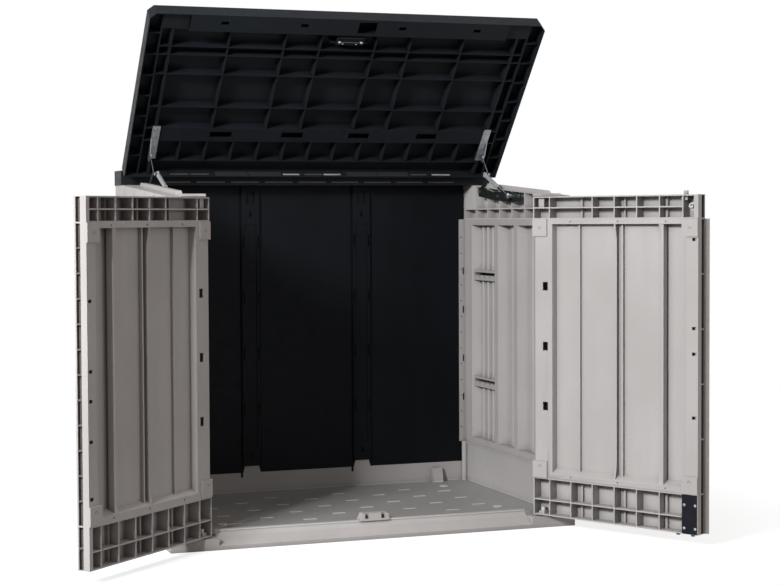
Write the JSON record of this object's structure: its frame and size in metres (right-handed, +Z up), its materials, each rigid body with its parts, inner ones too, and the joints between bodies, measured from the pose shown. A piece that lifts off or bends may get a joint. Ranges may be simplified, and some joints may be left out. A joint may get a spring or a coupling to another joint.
{
  "type": "garden storage box",
  "caption": "Low resin storage cabinet for outdoors, with hinged double doors, a lid held open by gas struts, a ramped floor tray and slits for a shelf.",
  "frame": {"origin": "centre of the base tray's footprint, on the ground", "axes": "+X to the right seen from the doors, +Y to the back, +Z up"},
  "size_m": [1.8223, 1.2028, 1.5975],
  "materials": {
    "resin": "fine-grained moulded resin, warm grey",
    "black_resin": "fine-grained moulded resin, near black",
    "lid_resin": "fine-grained moulded resin, anthracite",
    "dark_steel": "dark coated steel",
    "zinc": "zinc-plated steel",
    "bright_rod": "polished rod",
    "white_plastic": "white moulded plastic"
  },
  "bodies": {
    "cabinet": {"floor_base": "resin", "door_catch": "resin", "hinge_beam": "lid_resin", "hinge_rod": "zinc", "back_panel_centre": "black_resin", "side_panel_right": "resin", "side_rail_right": "resin", "back_panel_right": "black_resin", "back_upright_right": "black_resin", "stay_plate_right": "dark_steel", "stay_plate_screws_right": "zinc", "stay_studs_right": "zinc", "side_panel_left": "resin", "side_rail_left": "resin", "back_panel_left": "black_resin", "back_upright_left": "black_resin", "stay_plate_left": "dark_steel", "stay_plate_screws_left": "zinc", "stay_studs_left": "zinc"},
    "lid": {"lid_shell": "lid_resin", "lid_latch_bracket": "dark_steel", "lid_latch_screws": "zinc", "lid_latch_pin": "zinc", "lid_bracket_right": "zinc", "lid_bracket_rivets_right": "zinc", "link_pin_right": "zinc", "lid_bracket_left": "zinc", "lid_bracket_rivets_left": "zinc", "link_pin_left": "zinc"},
    "lid_latch": {"lid_latch_bar": "dark_steel"},
    "stay_lever_right": {"stay_lever_right": "dark_steel", "lever_pin_right": "zinc"},
    "stay_link_right": {"stay_link_right": "zinc"},
    "strut_rod_right": {"strut_rod_right": "bright_rod"},
    "strut_tube_right": {"strut_tube_right": "dark_steel"},
    "door_right": {"door_top_rail_right": "resin", "door_panel_right": "resin", "door_bottom_rail_right": "resin", "door_pivots_right": "white_plastic", "bottom_pegs": "resin", "top_peg": "resin", "lock_plate": "dark_steel", "lock_plate_rivets": "dark_steel"},
    "stay_lever_left": {"stay_lever_left": "dark_steel", "lever_pin_left": "zinc"},
    "stay_link_left": {"stay_link_left": "zinc"},
    "strut_rod_left": {"strut_rod_left": "bright_rod"},
    "strut_tube_left": {"strut_tube_left": "dark_steel"},
    "door_left": {"door_top_rail_left": "resin", "door_panel_left": "resin", "door_bottom_rail_left": "resin", "door_pivots_left": "white_plastic"},
    "door_latch": {"latch_handle": "dark_steel", "latch_hook": "white_plastic"}
  },
  "joints": [
    {"name": "lid_hinge", "type": "hinge", "parent": "cabinet", "child": "lid", "pos_m": [0, 0.258, 1.111], "axis": [1, 0, 0], "range_deg": [0, 54]},
    {"name": "stay_lever_turn_right", "type": "hinge", "parent": "cabinet", "child": "stay_lever_right", "pos_m": [0.573, 0.194, 1.048], "axis": [1, 0, 0], "range_deg": [0, 57.95]},
    {"name": "stay_link_turn_right", "type": "hinge", "parent": "lid", "child": "stay_link_right", "pos_m": [0.573, 0.16461, 1.16318], "axis": [1, 0, 0], "range_deg": [-60.85, 0]},
    {"name": "strut_turn_right", "type": "hinge", "parent": "cabinet", "child": "strut_rod_right", "pos_m": [0.56, -0.058, 1.03], "axis": [1, 0, 0], "range_deg": [-28.94, 0]},
    {"name": "strut_slide_right", "type": "slide", "parent": "strut_rod_right", "child": "strut_tube_right", "axis": [0, 0.9229, 0.385], "range_m": [-0.0242, 0]},
    {"name": "stay_lever_turn_left", "type": "hinge", "parent": "cabinet", "child": "stay_lever_left", "pos_m": [-0.573, 0.194, 1.048], "axis": [1, 0, 0], "range_deg": [0, 57.95]},
    {"name": "stay_link_turn_left", "type": "hinge", "parent": "lid", "child": "stay_link_left", "pos_m": [-0.573, 0.16461, 1.16318], "axis": [1, 0, 0], "range_deg": [-60.85, 0]},
    {"name": "strut_turn_left", "type": "hinge", "parent": "cabinet", "child": "strut_rod_left", "pos_m": [-0.56, -0.058, 1.03], "axis": [1, 0, 0], "range_deg": [-28.94, 0]},
    {"name": "strut_slide_left", "type": "slide", "parent": "strut_rod_left", "child": "strut_tube_left", "axis": [0, 0.9229, 0.385], "range_m": [-0.0242, 0]},
    {"name": "door_right_hinge", "type": "hinge", "parent": "cabinet", "child": "door_right", "pos_m": [0.548, -0.348, 0.5], "axis": [0, 0, 1], "range_deg": [-120, 22]},
    {"name": "door_left_hinge", "type": "hinge", "parent": "cabinet", "child": "door_left", "pos_m": [-0.548, -0.348, 0.5], "axis": [0, 0, -1], "range_deg": [-139, 3]},
    {"name": "door_latch_turn", "type": "hinge", "parent": "door_right", "child": "door_latch", "pos_m": [0.8065, -0.79573, 0.989], "axis": [0.866, 0.5, 0], "range_deg": [0, 90]},
    {"name": "lid_latch_turn", "type": "hinge", "parent": "lid", "child": "lid_latch", "pos_m": [0, -0.12519, 1.51788], "axis": [-1, 0, 0], "range_deg": [0, 40], "stiffness_Nm_per_rad": 0.05, "springref_deg": -28.65}
  ],
  "couplings": [
    {"joint": "stay_lever_turn_right", "follows": "lid_hinge", "ratio": 1.0722},
    {"joint": "stay_link_turn_right", "follows": "lid_hinge", "ratio": -1.126},
    {"joint": "strut_turn_right", "follows": "lid_hinge", "ratio": -0.53495},
    {"joint": "strut_slide_right", "follows": "lid_hinge", "m_per_rad": -0.025618},
    {"joint": "stay_lever_turn_left", "follows": "lid_hinge", "ratio": 1.0722},
    {"joint": "stay_link_turn_left", "follows": "lid_hinge", "ratio": -1.126},
    {"joint": "strut_turn_left", "follows": "lid_hinge", "ratio": -0.53495},
    {"joint": "strut_slide_left", "follows": "lid_hinge", "m_per_rad": -0.025618}
  ]
}
